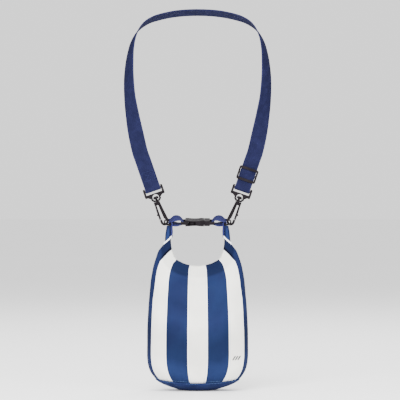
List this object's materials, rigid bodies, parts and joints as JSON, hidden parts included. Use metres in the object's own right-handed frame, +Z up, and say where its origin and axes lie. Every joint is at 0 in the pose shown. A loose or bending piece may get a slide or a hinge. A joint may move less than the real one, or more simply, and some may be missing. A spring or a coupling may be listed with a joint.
{
  "type": "roll-top laundry bag",
  "caption": "Striped roll-top dry bag for laundry, rolled and buckled into a carrying loop, hanging by swivel snap hooks from an adjustable webbing shoulder strap.",
  "frame": {"origin": "just under the front edge of the strap crown, where a shoulder or a peg carries it", "axes": "+Z up, +X to the right of someone who faces the bag, with the strap adjuster on that side, +Y towards the back of the bag"},
  "size_m": [0.236, 0.0984, 0.6055],
  "materials": {
    "strap_webbing": "woven nylon, satin",
    "tab_webbing": "woven nylon, satin",
    "striped_fabric": "coated ripstop in white and blue stripes",
    "base_fabric": "coated ripstop, blue",
    "roll_fabric": "coated ripstop, rolled",
    "seam_tape": "heat-bonded film",
    "stiffener": "sheet",
    "black_plastic": "moulded acetal, fine texture",
    "ring_wire": "black coated wire"
  },
  "bodies": {
    "strap": {"shoulder_webbing": "strap_webbing", "strap_return_ply": "strap_webbing", "left_swivel_bracket": "black_plastic", "right_swivel_bracket": "black_plastic"},
    "adjuster": {"strap_adjuster": "black_plastic", "strap_tail_fold": "strap_webbing"},
    "left_hook": {"left_snap_hook": "black_plastic"},
    "left_gate": {"left_hook_gate": "black_plastic"},
    "right_hook": {"right_snap_hook": "black_plastic"},
    "right_gate": {"right_hook_gate": "black_plastic"},
    "bag": {"front_panel": "striped_fabric", "back_panel": "striped_fabric", "base_panel": "base_fabric", "base_seam_tape": "seam_tape", "left_seam_tape": "seam_tape", "right_seam_tape": "seam_tape", "roll_top": "roll_fabric", "roll_stiffener": "stiffener", "left_webbing_tab": "tab_webbing", "right_webbing_tab": "tab_webbing", "buckle_socket": "black_plastic"},
    "left_ring": {"left_d_ring": "ring_wire"},
    "right_ring": {"right_d_ring": "ring_wire"},
    "plug": {"buckle_plug": "black_plastic"},
    "front_arm": {"buckle_front_arm": "black_plastic"},
    "rear_arm": {"buckle_rear_arm": "black_plastic"}
  },
  "joints": [
    {"name": "bag_swing", "type": "hinge", "parent": "strap", "child": "bag", "pos_m": [0, 0, -0.33247], "axis": [1, 0, 0], "range_deg": [-40, 10]},
    {"name": "left_hook_swivel", "type": "hinge", "parent": "strap", "child": "left_hook", "pos_m": [-0.071, 0, -0.277], "axis": [0.3256, 0, -0.9455], "range_deg": [-15, 15]},
    {"name": "right_hook_swivel", "type": "hinge", "parent": "strap", "child": "right_hook", "pos_m": [0.071, 0, -0.277], "axis": [0.3256, 0, 0.9455], "range_deg": [-15, 15]},
    {"name": "left_gate_pivot", "type": "hinge", "parent": "left_hook", "child": "left_gate", "pos_m": [-0.0668, 0, -0.30178], "axis": [0, -1, 0], "range_deg": [0, 8], "stiffness_Nm_per_rad": 0.01, "springref_deg": -5.73},
    {"name": "right_gate_pivot", "type": "hinge", "parent": "right_hook", "child": "right_gate", "pos_m": [0.0668, 0, -0.30178], "axis": [0, 1, 0], "range_deg": [0, 8], "stiffness_Nm_per_rad": 0.01, "springref_deg": -5.73},
    {"name": "left_ring_pivot", "type": "hinge", "parent": "bag", "child": "left_ring", "pos_m": [-0.0427, 0, -0.32874], "axis": [0, 0.9397, 0.342], "range_deg": [0, 10]},
    {"name": "right_ring_pivot", "type": "hinge", "parent": "bag", "child": "right_ring", "pos_m": [0.0427, 0, -0.32874], "axis": [0, -0.9397, -0.342], "range_deg": [0, 10]},
    {"name": "adjuster_slide", "type": "slide", "parent": "strap", "child": "adjuster", "axis": [0.3256, 0, 0.9455], "range_m": [0, 0.026], "deforming": ["strap_return_ply"]},
    {"name": "buckle_slide", "type": "slide", "parent": "bag", "child": "plug", "axis": [1, 0, 0], "range_m": [0, 0.012], "deforming": ["right_webbing_tab"]},
    {"name": "front_arm_squeeze", "type": "hinge", "parent": "plug", "child": "front_arm", "pos_m": [0.0084, -0.00778, -0.33011], "axis": [0, 0.1736, -0.9848], "range_deg": [0, 6], "stiffness_Nm_per_rad": 0.05, "springref_deg": -2.86},
    {"name": "rear_arm_squeeze", "type": "hinge", "parent": "plug", "child": "rear_arm", "pos_m": [0.0084, 0.00778, -0.32737], "axis": [0, -0.1736, 0.9848], "range_deg": [0, 6], "stiffness_Nm_per_rad": 0.05, "springref_deg": -2.86}
  ]
}
